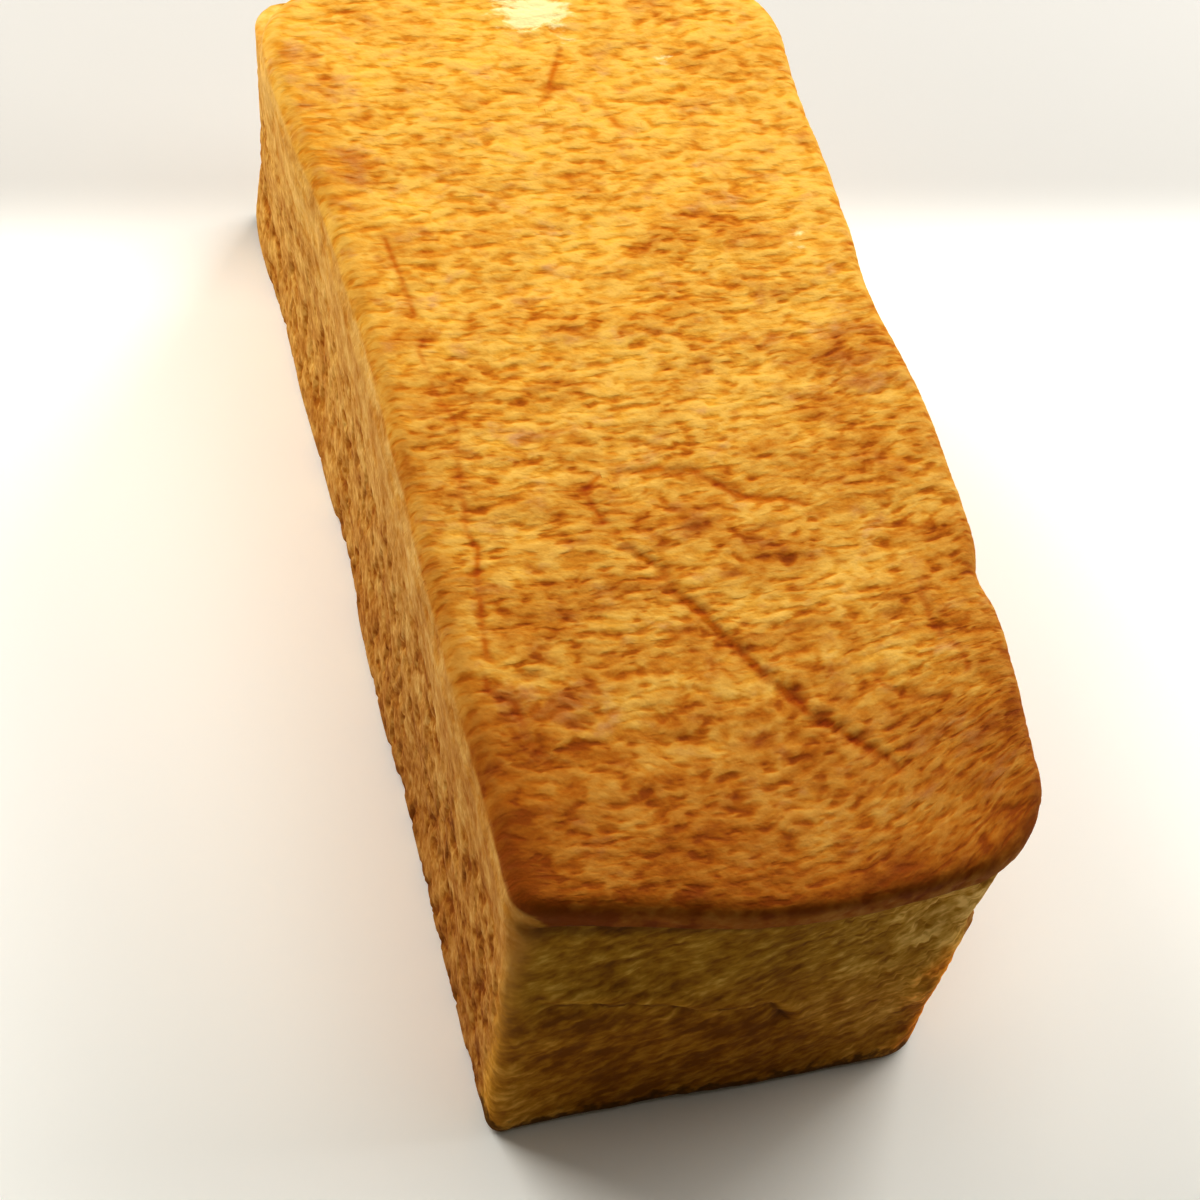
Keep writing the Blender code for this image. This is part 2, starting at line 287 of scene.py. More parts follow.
def spread(share, half):
    """Draws even lines together over the two rolled edges of a side that runs from -half to half."""
    edge = RIM_CELLS / (COLUMNS if half == WIDTH / 2 else ROWS)
    outer = np.minimum(share, 1 - share)
    turned = RIM * (1 - np.cos(np.pi / 2 * np.clip(outer / edge, 0, 1)))
    inner = RIM + (half - RIM) * np.clip((outer - edge) / (0.5 - edge), 0, 1)
    inset = np.where(outer < edge, turned, inner)
    return np.where(share < 0.5, -half + inset, half - inset)


def tier_height(share):
    """Draws even tiers to the heights of the wall: close at the foot and under the lip."""
    places = np.array([0, 1, 2, 3, TIERS - LIP_CELLS - 4, TIERS - LIP_CELLS, TIERS]) / TIERS
    below = RIM_Z - LIP_BAND - LIP_DEPTH - 0.4
    heights = np.array([0, BASE_EDGE, 3.0, 4.8, below - 5, below, RIM_Z])
    return np.interp(share, places, heights)


def rounded_plan(x, y, z):
    """Turns the block's square corners into arcs."""
    radius = np.zeros_like(x)
    for (across, along), (at_rim, at_wall, at_foot) in CORNERS.items():
        here = ((x < 0) == (across == "left")) & ((y < 0) == (along == "near"))
        sized = mix(mix(at_foot, at_wall, z / RIM_Z), at_rim, lip_share(z))
        radius = np.where(here, sized, radius)
    dx = (np.abs(x) - (WIDTH / 2 - radius)) / radius
    dy = (np.abs(y) - (LENGTH / 2 - radius)) / radius
    corner = (dx > 0) & (dy > 0)
    pull = np.maximum(dx, dy) / np.hypot(dx, dy)
    x_new = np.where(corner, np.sign(x) * (WIDTH / 2 - radius + dx * pull * radius), x)
    y_new = np.where(corner, np.sign(y) * (LENGTH / 2 - radius + dy * pull * radius), y)
    return x_new, y_new


def stand(name, along, z):
    """How far a side stands from the tin's middle line, at a place along it and a height."""
    side = SIDES[name]
    foot = side.foot + side.slope * along
    bow = bell(along - side.bow_at, side.bow_reach)
    up = np.clip(z / RIM_Z, 0, 1)
    wall = mix(foot, side.wall + side.wall_bow * bow, up ** side.lean) - WAIST * np.sin(np.pi * up)
    out = mix(wall, side.rim + side.bow * bow, lip_share(z))
    out = out - np.clip(BASE_EDGE - z, 0, None)
    for dent_side, at, height, reach, depth in DENTS:
        if dent_side == name:
            out = out - depth * bell(np.hypot(along - at, z - height), reach)
    wander = slow_noise(along / WALL_SWELL_SIZE, z / WALL_SWELL_SIZE, SIDE_SEEDS[name])
    return out + WALL_SWELL * wander


def inset_of(block):
    """How far each point of the block lies in from the nearest side."""
    return np.minimum(WIDTH / 2 - np.abs(block[:, 0]), LENGTH / 2 - np.abs(block[:, 1]))


def drawn_to_form(block):
    """Where the points of the plain block go on the loaf."""
    x, y, z = block.T
    inset = np.maximum(0.0, inset_of(block))
    turn = np.arccos(np.maximum(0.0, 1 - inset / RIM))
    swell = TOP_SWELL * slow_noise(x / SWELL_SIZE, y / SWELL_SIZE, SWELL_SEED)
    tight = smooth((TIGHT_FROM - y) / TIGHT_OVER) * bell(x - TIGHT_AT, TIGHT_REACH)
    top = RIM_Z + RIM * np.sin(turn) ** mix(1.0, TIGHT_POWER, tight) + swell * smooth(inset / (2 * RIM))
    z_new = np.where(z > HEIGHT - TOUCH, top, z)
    level = np.minimum(z_new, RIM_Z)
    x_new, y_new = rounded_plan(x, y, level)
    reach_x = np.where(x < 0, stand("left", y_new, level), stand("right", y_new, level))
    reach_y = np.where(y < 0, stand("near", x_new, level), stand("far", x_new, level))
    return np.stack([x_new * reach_x / (WIDTH / 2), y_new * reach_y / (LENGTH / 2), z_new], axis=1)


# ---------------------------------------- the block, modelled


def take_edges(mesh, axis):
    """Selects the edges that run along one axis, and nothing else."""
    bpy.ops.mesh.select_all(action="DESELECT")
    edit = bmesh.from_edit_mesh(mesh)
    for edge in edit.edges:
        run = edge.verts[1].co - edge.verts[0].co
        edge.select_set(abs(run[axis]) > 0.9 * run.length)
    bmesh.update_edit_mesh(mesh)


def make_block():
    """A box the size of the loaf, open below, cut into fine cells, then given its base."""
    bpy.ops.object.select_all(action="DESELECT")
    bpy.ops.mesh.primitive_cube_add(size=1, location=(0, 0, HEIGHT / 2), scale=(WIDTH, LENGTH, HEIGHT))
    loaf = bpy.context.object
    loaf.name = "loaf_crust"
    bpy.ops.object.transform_apply(location=True, rotation=False, scale=True)
    bpy.ops.object.mode_set(mode="EDIT")
    bpy.context.tool_settings.mesh_select_mode = (False, False, True)
    bpy.ops.mesh.select_all(action="DESELECT")
    edit = bmesh.from_edit_mesh(loaf.data)
    for face in edit.faces:
        face.select_set(face.normal.z < -0.5)
    bmesh.update_edit_mesh(loaf.data)
    bpy.ops.mesh.delete(type="ONLY_FACE")
    bpy.context.tool_settings.mesh_select_mode = (False, True, False)
    cuts = ((0, COLUMNS), (1, BANDS), (1, ROWS // BANDS), (2, TIERS))
    for axis, parts in cuts:
        take_edges(loaf.data, axis)
        bpy.ops.mesh.subdivide(number_cuts=parts - 1)
    bpy.ops.mesh.select_all(action="DESELECT")
    bpy.ops.mesh.select_non_manifold(extend=False, use_wire=False, use_multi_face=False,
                                     use_non_contiguous=False, use_verts=False)
    bpy.ops.mesh.extrude_edges_move()
    bpy.ops.transform.resize(value=BASE_RING, center_override=(0, 0, 0))
    bpy.ops.mesh.edge_face_add()
    bpy.ops.mesh.select_all(action="SELECT")
    bpy.ops.mesh.normals_make_consistent(inside=False)
    bpy.ops.mesh.select_all(action="DESELECT")
    bpy.ops.object.mode_set(mode="OBJECT")
    return loaf


def points_of(mesh):
    """The places of a mesh's points, one row each."""
    flat = np.empty(len(mesh.vertices) * 3)
    mesh.vertices.foreach_get("co", flat)
    return flat.reshape(-1, 3)


def move_points(mesh, places):
    mesh.vertices.foreach_set("co", places.astype(np.float32).ravel())
    mesh.update()


def settled_block(loaf):
    """The block's points, with its even lines drawn to their real places. The base stays at 0."""
    even = points_of(loaf.data)
    x = spread(even[:, 0] / WIDTH + 0.5, WIDTH / 2)
    y = spread(even[:, 1] / LENGTH + 0.5, LENGTH / 2)
    z = np.where(even[:, 2] > HEIGHT - TOUCH, HEIGHT, tier_height(even[:, 2] / HEIGHT))
    base = (inset_of(even) > TOUCH) & (z < TOUCH)
    x = np.where(base, even[:, 0], x)
    y = np.where(base, even[:, 1], y)
    return np.stack([x, y, z], axis=1)


# ---------------------------------------- marks on the crust


def line_field(px, py, fold):
    """Distance to a fold's line, positive on its right as it is drawn, and how far along it is, 0 to 1."""
    points = np.array(fold.points, float)
    runs = np.hypot(*(points[1:] - points[:-1]).T)
    starts = np.concatenate([[0], np.cumsum(runs)])
    px = px + FOLD_WOBBLE * slow_noise(px / 5, py / 5, 61.0)
    py = py + FOLD_WOBBLE * slow_noise(px / 5, py / 5, 62.0)
    best = np.full(px.shape, 1e9)
    side = np.zeros(px.shape)
    along = np.zeros(px.shape)
    for start, a, b, run in zip(starts, points[:-1], points[1:], runs):
        step = (b - a) / run
        t = (px - a[0]) * step[0] + (py - a[1]) * step[1]
        held = np.clip(t, 0, run)
        gap = np.hypot(px - a[0] - held * step[0], py - a[1] - held * step[1])
        cross = step[1] * (px - a[0]) - step[0] * (py - a[1])
        nearer = gap < best
        best = np.where(nearer, gap, best)
        side = np.where(nearer, np.where(cross < 0, -1.0, 1.0), side)
        along = np.where(nearer, (start + held) / starts[-1], along)
    return best * side, along


def ends_off(along):
    """1 along a fold, falling to 0 at its two ends."""
    return smooth(np.minimum(along, 1 - along) / 0.07)


def hollowed(x, flow_y):
    """How deep each point lies in the crust's own hollows, from 0 to 1 and a little more."""
    across = x + 1.2 * slow_noise(x / 4, flow_y / 3, 81.0)
    along = flow_y + 0.7 * slow_noise(x / 4, flow_y / 3, 82.0)
    deep = np.zeros(len(x))
    for hollow in HOLLOWS:
        middle = flow_of(np.array([[hollow.x, hollow.y, HEIGHT]]))[0, 1]
        off = np.hypot((across - hollow.x) / hollow.across, (along - middle) / hollow.along)
        deep = np.maximum(deep, hollow.strength * smooth((1.5 - off) / 1.3))
    return deep


def unrolled(place, half):
    """Distance from the middle line, out over the rolled rim, so that the map keeps its scale there."""
    inset = half - np.abs(place)
    turn = np.arccos(np.clip(1 - inset / RIM, 0, 1))
    over = RIM * (np.pi / 2 - turn)
    return np.sign(place) * np.where(inset < RIM, half - RIM + over, np.abs(place))


def flow_of(form):
    """Where each point is, with its second coordinate bent so that the wrinkles run level along the first."""
    x, y, z = form.T
    lean = np.interp(y, (-110, -60, 0, 60), (0.12, 0.02, 0.02, -0.05))
    curve = np.interp(y, (-110, -60, 0, 60), (0.0002, 0.0009, 0.0009, 0.0003))
    rise = lean * x + curve * x * x
    corner = 7 * np.log1p(np.exp((x - 36) / 7)) * smooth((-65 - y) / 60)
    near = SIDES["near"]
    bow = near.bow * bell(x - near.bow_at, near.bow_reach) * smooth((-60 - y) / 60)
    return np.stack([x, y - rise - 0.55 * corner + bow, z], axis=1)


def slant_of(form):
    """Where each point is, turned so that what rises to the right on the end walls runs level."""
    x, y, z = form.T
    run, rise = math.cos(END_TILT), math.sin(END_TILT)
    return np.stack([x * run + z * rise, y, z * run - x * rise], axis=1)


def put_marks(loaf, name, kind, values):
    """Writes a value for each point of the loaf under a name."""
    attribute = loaf.data.attributes.new(name, kind, "POINT")
    field = "vector" if kind == "FLOAT_VECTOR" else "value"
    attribute.data.foreach_set(field, values.astype(np.float32).ravel())


def overhang(form, block):
    """How far the crust rim stands out past the wall below it, at the nearest side of the loaf."""
    x, y, _ = form.T
    stands = []
    for low, high, place, along in (("left", "right", x, y), ("near", "far", y, x)):
        beyond = []
        for name in (low, high):
            side = SIDES[name]
            bow = bell(along - side.bow_at, side.bow_reach)
            beyond.append(side.rim - side.wall + (side.bow - side.wall_bow) * bow)
        stands.append(np.where(place < 0, *beyond))
    inset_x = WIDTH / 2 - np.abs(block[:, 0])
    inset_y = LENGTH / 2 - np.abs(block[:, 1])
    return mix(stands[0], stands[1], smooth((inset_x - inset_y) / 8 + 0.5))


def spot_shares(x, y):
    """How brown and how pale the spots leave each point of the top."""
    shares = {"brown": np.zeros(len(x)), "pale": np.zeros(len(x))}
    for spot in TOP_SPOTS:
        off = np.hypot((x - spot.x) / spot.across, (y - spot.y) / spot.along)
        shares[spot.kind] = np.maximum(shares[spot.kind], spot.strength * bell(off, 1))
    return shares["brown"], shares["pale"]


def baked_share_and_roll_light(x, y, z, inset):
    """How darkly each point baked: most at the near end, at the rim and at the near corners; less on the roll
    of the near edge, where painted light is added.
    """
    to_near = np.interp(y, *zip(*BAKED_ALONG))
    rim = smooth(1 - inset / (3 * RIM))
    corners = np.zeros(len(x))
    for at_x, at_y, reach, amount in DARK_CORNERS:
        corners = np.maximum(corners, amount * bell(np.hypot(x - at_x, y - at_y), reach))
    # The roll of the near edge is painted lighter over its middle: painted light that makes up for the shade
    # it takes facing forward.
    roll = smooth((RIM_Z + 3 - z) / 3) * smooth((TIGHT_FROM - y) / 10) * bell(x - TIGHT_AT, TIGHT_REACH)
    return to_near + rim * (0.06 + 0.30 * to_near) + 0.30 * corners - 0.4 * roll


def calm_share(x, inset, on_top):
    """How strongly the top's relief shows: less over the rolled rim and along the left."""
    off_rim = mix(0.6, 1.0, smooth((inset - 1) / 7))
    off_left = mix(1.0, 0.55, smooth((-48 - x) / 8))
    return np.where(on_top, off_rim * off_left, 1.0)


def end_share(x, y):
    """1 on the end walls and 0 on the long walls, blended over the upright corners."""
    off_end = 2 * (LENGTH / 2 - np.abs(y)) - (WIDTH / 2 - np.abs(x))
    return smooth(0.5 - off_end / 8)


def crust_start(x, y, z):
    """1 on the top crust, 0 on the walls: it starts higher on the left, where no lip hangs over the wall."""
    seam = CREASE_Z + 0.5 + (LIP_BAND + 1.4) * smooth((-50 - x) / 6)
    ragged = slow_noise(x / 5, y / 5, 8.1)
    return smooth((z - seam + 0.5 * ragged) / 0.9)


def lip_shadow(z, hang):
    """1 on the underside of the lip and on the wall just below it, where a painted shadow falls: further down
    where the lip hangs out more.
    """
    starts = smooth((CREASE_Z + 2.4 - z) / 1.6)
    ends = smooth((z - CREASE_Z + 3.0 + 1.4 * hang) / 4.5)
    return smooth(hang / 2.5) * starts * ends


def fold_marks(x, y, z, on_top, on_near):
    """The depth pressed in by the folds, each point's place across its strongest fold, and the darkness of
    its painted shade.
    """
    press = np.zeros(len(x))
    fold_side = np.full(len(x), NO_FOLD)
    fold_dark = np.zeros(len(x))
    lines = [(fold, x, y, on_top) for fold in TOP_FOLDS] + [(END_FOLD, x, z, on_near)]
    for fold, across, up, skin in lines:
        side, along = line_field(across, up, fold)
        ends = ends_off(along) * skin
        # A torn fold is ragged on the side that dropped, and swells on the other.
        torn = np.clip(2.2 * slow_noise(across / 2.4, up / 2.4, 73.0), 0, 1) * min(1.0, 2 * fold.drop)
        even = side / (fold.width * np.where(side > 0, 1 + 1.5 * torn, 1.0))
        uneven = np.clip(0.8 + 0.9 * slow_noise(across / 6, up / 6, 71.0), 0.4, 1.4)
        press += ends * fold.depth * uneven * np.exp(-(even ** 2))
        press += ends * fold.drop * np.where(side > 0, np.exp(-np.abs(side) / 4.5), 0)
        press -= ends * 0.8 * fold.drop * bell(side + 3.0, 2.2)
        broken = np.clip(0.95 + 1.4 * slow_noise(across / 5, up / 5, 77.0), 0.5, 1.2)
        strength = ends * fold.dark * broken * smooth((7 - np.abs(side)) / 3)
        stronger = strength > fold_dark
        fold_side = np.where(stronger, even, fold_side)
        fold_dark = np.where(stronger, strength, fold_dark)
    return press, fold_side, fold_dark


def mark_crust(loaf, block, form):
    """Writes what the finish needs to know at each point, and gives back the depth pressed in there."""
    x, y, z = form.T
    inset = inset_of(block)
    on_top = block[:, 2] > HEIGHT - TOUCH
    on_near = ~on_top & (block[:, 1] < -LENGTH / 2 + TOUCH)
    flow = flow_of(form)
    brown, pale = spot_shares(x, y)
    # Painted highlight along the upright near left corner.
    corner_x, corner_y, corner_reach = HIGHLIGHT_CORNER
    corner_highlight = bell(np.hypot(x - corner_x, y - corner_y), corner_reach) * smooth(z / 20)
    press, fold_side, fold_dark = fold_marks(x, y, z, on_top, on_near)
    deep = hollowed(x, flow[:, 1]) * on_top
    shelf_x, shelf_z = np.array(END_FOLD.points, float).T
    places = {"place": form, "flow": flow, "slant": slant_of(form)}
    marks = {
        "crust": crust_start(x, y, z),
        # How browned each point is, less on the roll of the near edge where painted light is added.
        "baked": baked_share_and_roll_light(x, y, z, inset),
        "browned": brown,
        # Pale spots on the top; on the walls, the painted highlight of the near left corner.
        "pale": np.where(on_top, pale, corner_highlight),
        "fold_side": fold_side,
        "fold_dark": fold_dark,
        "deep": deep,
        # Painted shadow under the lip and on the wall below it.
        "lip": lip_shadow(z, overhang(form, block)),
        "calm": calm_share(x, inset, on_top),
        "end_wall": end_share(x, y),
        "height": z,
        "shelf": z - np.interp(x, shelf_x, shelf_z),  # height above the torn fold of the near end
    }
    for name, values in places.items():
        put_marks(loaf, name, "FLOAT_VECTOR", values)
    for name, values in marks.items():
        put_marks(loaf, name, "FLOAT", values)
    return press + 0.2 * deep


# ---------------------------------------- wiring of node trees


class Wires:
    """Adds nodes to a node tree and hands back their output sockets."""

    def __init__(self, tree):
        self.tree = tree
        self.shading = tree.bl_idname == "ShaderNodeTree"

    def node(self, kind, **settings):
        made = self.tree.nodes.new(kind)
        for name, value in settings.items():
            setattr(made, name, value)
        return made

    def feed(self, socket, value):
        if isinstance(value, bpy.types.NodeSocket):
            self.tree.links.new(value, socket)
        else:
            socket.default_value = value

    def math(self, operation, *values, clamp=False):
        made = self.node("ShaderNodeMath", operation=operation, use_clamp=clamp)
        for socket, value in zip(made.inputs, values):
            self.feed(socket, value)
        return made.outputs[0]

    def product(self, *values):
        total = values[0]
        for value in values[1:]:
            total = self.math("MULTIPLY", total, value)
        return total

    def weighed(self, start, *parts):
        """A start, plus each part times its weight."""
        total = start
        for part, weight in parts:
            total = self.math("MULTIPLY_ADD", part, weight, total)
        return total

    def off_half(self, value):
        """A noise from 0 to 1, shifted to -0.5 to 0.5."""
        return self.math("SUBTRACT", value, 0.5)

    def vector(self, operation, *values):
        made = self.node("ShaderNodeVectorMath", operation=operation)
        for socket, value in zip(made.inputs, values):
            self.feed(socket, value)
        return made.outputs[0]

    def noise_node(self, place, size, detail, roughness):
        stretched = self.vector("MULTIPLY", place, tuple(1 / s for s in size))
        made = self.node("ShaderNodeTexNoise", noise_dimensions="3D")
        self.feed(made.inputs["Vector"], stretched)
        made.inputs["Scale"].default_value = 1.0
        made.inputs["Detail"].default_value = detail
        made.inputs["Roughness"].default_value = roughness
        return made

    def noise(self, place, size, detail=1.0, roughness=0.5):
        """Noise from 0 to 1 whose lumps have a size along each coordinate."""
        return self.noise_node(place, size, detail, roughness).outputs[0]

    def swirl(self, place, size, reach):
        """A place pushed about by up to about half a reach, so that what is drawn there meanders."""
        colour = self.noise_node(place, size, 2.0, 0.5).outputs[1]
        away = self.vector("SUBTRACT", colour, (0.5, 0.5, 0.5))
        return self.vector("ADD", place, self.vector("MULTIPLY", away, reach))

    def ramp(self, value, low, high, out_low=0.0, out_high=1.0):
        """A value eased from one range to another, and held there."""
        made = self.node("ShaderNodeMapRange", interpolation_type="SMOOTHSTEP")
        for socket, number in zip(made.inputs, (value, low, high, out_low, out_high)):
            self.feed(socket, number)
        return made.outputs[0]

    def blend(self, share, low, high):
        """From one colour to another."""
        made = self.node("ShaderNodeMix", data_type="RGBA")
        for index, value in ((0, share), (6, low), (7, high)):
            self.feed(made.inputs[index], value)
        return made.outputs[2]

    def number_mix(self, share, low, high):
        """From one number to another."""
        made = self.node("ShaderNodeMix", data_type="FLOAT")
        for index, value in ((0, share), (2, low), (3, high)):
            self.feed(made.inputs[index], value)
        return made.outputs[0]

    def mark(self, name, kind="FLOAT"):
        """One of the loaf's own marks."""
        if self.shading:
            made = self.node("ShaderNodeAttribute", attribute_type="GEOMETRY", attribute_name=name)
            return made.outputs["Vector"] if kind == "FLOAT_VECTOR" else made.outputs["Fac"]
        made = self.node("GeometryNodeInputNamedAttribute", data_type=kind)
        made.inputs["Name"].default_value = name
        return next(out for out in made.outputs if out.enabled and out.name == "Attribute")

    def tinted(self, share, colour, tint):
        """A colour, multiplied by a tint as far as the share says."""
        return self.blend(share, colour, self.vector("MULTIPLY", colour, tint))

    def shade(self, value, shades):
        """A colour between shades that are evenly spread from 0 to 1."""
        made = self.node("ShaderNodeValToRGB")
        self.feed(made.inputs[0], value)
        elements = made.color_ramp.elements
        while len(elements) < len(shades):
            elements.new(0.5)
        for index, (element, shade) in enumerate(zip(elements, shades)):
            element.position = index / (len(shades) - 1)
            element.color = (*shade, 1)
        return made.outputs[0]


Relief = namedtuple("Relief", "bent swell wrinkle puff hollow pit")


def skin_relief(wires):
    """The crust's relief at every scale the mesh can hold: each part from 0 to 1."""
    place = wires.mark("place", "FLOAT_VECTOR")
    bent = wires.swirl(wires.mark("flow", "FLOAT_VECTOR"), (13, 8, 11), (5.5, 3.8, 0.0))
    swell = wires.noise(place, (24, 12, 18), 1.0)
    wrinkle = wires.noise(bent, (4.2, 1.9, 4.1), 1.5, 0.5)
    # Rounded puffs: level on top and steeper towards the valleys.
    low = wires.math("MULTIPLY", wires.math("SUBTRACT", 0.64, wires.math("MINIMUM", wrinkle, 0.64)), 2.9)
    puff = wires.math("SUBTRACT", 1.0, wires.math("MULTIPLY", low, low))
    # Short hollows, mostly in the valleys.
    short = wires.noise(wires.vector("ADD", bent, (37.0, 91.0, 13.0)), (4.3, 1.4, 4.1), 1.0, 0.5)
    hollow = wires.ramp(wires.math("MULTIPLY_ADD", wrinkle, 0.5, short), 0.76, 0.50)
    # Pits of the walls: ragged small ones that gather in larger ones.
    cave = wires.noise(place, (9, 9, 8), 1.0)
    hole = wires.math("MULTIPLY_ADD", cave, 0.7, wires.noise(place, (3.6, 3.6, 3.2), 2.0, 0.55))
    pit = wires.ramp(hole, 0.84, 0.64)
    return Relief(bent, swell, wrinkle, puff, hollow, pit)


Slanted = namedtuple("Slanted", "wave grit pore")


def slanted_relief(wires):
    """Relief of the end walls, which rises to the right, with open pores on the right: each from 0 to 1."""
    slant = wires.mark("slant", "FLOAT_VECTOR")
    bent = wires.swirl(slant, (12, 12, 7), (3.0, 0.0, 2.5))
    wave = wires.noise(bent, (8.0, 8.0, 2.4), 1.0, 0.5)
    grit = wires.noise(wires.vector("ADD", bent, (41.0, 0.0, 17.0)), (3.4, 3.4, 1.7), 2.0, 0.6)
    cells = wires.noise(wires.vector("ADD", slant, (11.0, 0.0, 71.0)), (3.0, 3.0, 2.6), 1.0, 0.5)
    split = wires.node("ShaderNodeSeparateXYZ")
    wires.feed(split.inputs[0], slant)
    pore = wires.math("MULTIPLY", wires.ramp(cells, 0.47, 0.36), wires.ramp(split.outputs[0], 32, 56))
    return Slanted(wave, grit, pore)


# ---------------------------------------- relief of the mesh


def relief_height(wires):
    """How far the crust stands out from the drawn form, in millimetres."""
    relief = skin_relief(wires)
    end_wall = wires.mark("end_wall")
    height = wires.mark("height")
    top = wires.math("MULTIPLY", relief.wrinkle, 0.34)
    top = wires.weighed(top, (relief.puff, 0.18), (relief.hollow, -0.09))
    top = wires.product(wires.math("SUBTRACT", top, 0.28), wires.mark("calm"))
    top = wires.weighed(top, (wires.off_half(relief.swell), 0.9))
    pitted = wires.product(relief.pit, wires.ramp(height, 72, 48, 0.15, 1.0))
    wall = wires.weighed(-0.2, (relief.swell, 0.8), (pitted, -1.1))
    slanted = slanted_relief(wires)
    end = wires.weighed(-0.9, (slanted.grit, 0.6), (slanted.pore, -0.6), (slanted.wave, 1.2))
    wall = wires.number_mix(end_wall, wall, end)
    total = wires.number_mix(wires.mark("crust"), wall, top)
    off_base = wires.ramp(height, 0.3, 3.0)
    return wires.product(total, off_base)


def raise_relief(loaf):
    """Pushes the crust's relief into the mesh along its normals."""
    group = bpy.data.node_groups.new("crust_relief", "GeometryNodeTree")
    group.interface.new_socket("Geometry", in_out="INPUT", socket_type="NodeSocketGeometry")
    group.interface.new_socket("Geometry", in_out="OUTPUT", socket_type="NodeSocketGeometry")
    wires = Wires(group)
    normal = wires.node("GeometryNodeInputNormal").outputs[0]
    push = wires.vector("MULTIPLY", normal, wires.math("MULTIPLY", relief_height(wires), MM))
    start = wires.node("NodeGroupInput")
    end = wires.node("NodeGroupOutput")
    shift = wires.node("GeometryNodeSetPosition")
    wires.feed(shift.inputs["Geometry"], start.outputs[0])
    wires.feed(shift.inputs["Offset"], push)
    wires.feed(end.inputs[0], shift.outputs[0])
    relief_modifier = loaf.modifiers.new("crust_relief", "NODES")
    relief_modifier.node_group = group
    bpy.context.view_layer.objects.active = loaf
    bpy.ops.object.modifier_apply(modifier=relief_modifier.name)


# ---------------------------------------- finish


Skin = namedtuple("Skin", "across along height flow baked browned pale relief slanted "
                          "blotch patch freckle fibre")


def crust_skin(wires):
    """What the colours are worked out from: marks of the loaf, its relief, and noises from coarse to fine."""
    place = wires.mark("place", "FLOAT_VECTOR")
    flow = wires.mark("flow", "FLOAT_VECTOR")
    split = wires.node("ShaderNodeSeparateXYZ")
    wires.feed(split.inputs[0], place)
    return Skin(
        across=split.outputs[0],
        along=split.outputs[1],
        height=wires.mark("height"),
        flow=flow,
        baked=wires.mark("baked"),
        browned=wires.mark("browned"),
        pale=wires.mark("pale"),
        relief=skin_relief(wires),
        slanted=slanted_relief(wires),
        blotch=wires.noise(place, (19, 12, 16), 2.0, 0.6),
        patch=wires.noise(place, (8.0, 9.0, 9.0), 2.0, 0.6),
        freckle=wires.noise(flow, (3.2, 2.2, 3.0), 2.0, 0.6),
        fibre=wires.noise(flow, (1.3, 0.9, 1.1), 1.0, 0.5),
    )


def top_colour(wires, skin):
    """The top: golden to brown by how long it baked, with mauve-brown matte patches and cream spots."""
    relief = skin.relief
    tone = wires.noise(relief.bent, (5.4, 2.6, 4.8), 4.0, 0.62)
    # Darker in the valleys and hollows of the relief: partly the crust's own colour, partly painted shade.
    uneven = wires.weighed(-1.64, (relief.wrinkle, 0.42), (relief.puff, 0.14), (relief.hollow, -0.28),
                           (tone, 0.80), (skin.blotch, 1.45), (skin.freckle, 0.35), (skin.fibre, 0.22))
    # The unevenness is weaker over the rim, and where the crust baked most and least.
    off_rim = wires.ramp(wires.mark("calm"), 0.3, 0.8, 0.6, 1.0)
    uneven = wires.product(uneven, off_rim, wires.ramp(skin.baked, 0.5, 1.2, 1.0, 0.72),
                           wires.ramp(skin.baked, 0.0, 0.4, 0.82, 1.0))
    light = wires.math("ADD", wires.weighed(0.83, (skin.baked, -0.46)), uneven)
    light = wires.weighed(light, (skin.browned, wires.math("MULTIPLY", skin.freckle, -0.5)))
    top = wires.shade(light, TOP_SHADES)
    # Painted warm light bounced about in the shaded valleys and hollows.
    valley_shading = wires.math("MULTIPLY", wires.ramp(relief.wrinkle, 0.60, 0.38), 0.6)
    valley_shading = wires.math("MULTIPLY_ADD", relief.hollow, 0.35, valley_shading, clamp=True)
    top = wires.tinted(valley_shading, top, VALLEY_SHADING_TINT)
    top = wires.tinted(wires.ramp(skin.baked, 0.05, 1.35), top, TOASTED_TINT)
    matte = wires.noise(wires.vector("ADD", skin.flow, (53.0, 17.0, 29.0)), (9.0, 6.0, 8.0), 3.0, 0.6)
    plum = wires.ramp(wires.weighed(matte, (skin.browned, 0.26)), 0.52, 0.80)
    top = wires.tinted(plum, top, PLUM_TINT)
    cream = wires.ramp(wires.weighed(skin.pale, (tone, 1.6)), 1.20, 1.60)
    return wires.blend(cream, top, (*CREAM, 1))


def side_colour(wires, skin):
    """The long walls: pale tan above, brown and pitted below, more golden towards the far end."""
    height = skin.height
    rise = wires.weighed(height, (wires.off_half(skin.blotch), 70.0))
    light = wires.ramp(rise, 20, 80, 0.60, 0.86)
    light = wires.math("ADD", light, wires.ramp(skin.along, -120, 110, -0.20, 0.24))
    light = wires.weighed(light, (skin.relief.pit, wires.ramp(height, 75, 45, -0.12, -0.42)),
                          (wires.off_half(skin.freckle), wires.ramp(height, 78, 50, 0.5, 1.3)),
                          (wires.off_half(skin.patch), 1.3), (wires.off_half(skin.fibre), 0.25))
    side = wires.shade(wires.math("MULTIPLY", light, 0.75), SIDE_SHADES)
    # Painted warm light bounced about in the shaded pits.
    side = wires.tinted(wires.math("MULTIPLY", skin.relief.pit, 0.6), side, VALLEY_SHADING_TINT)
    return wires.tinted(wires.ramp(skin.along, -60, 90), side, GOLDEN_TINT)


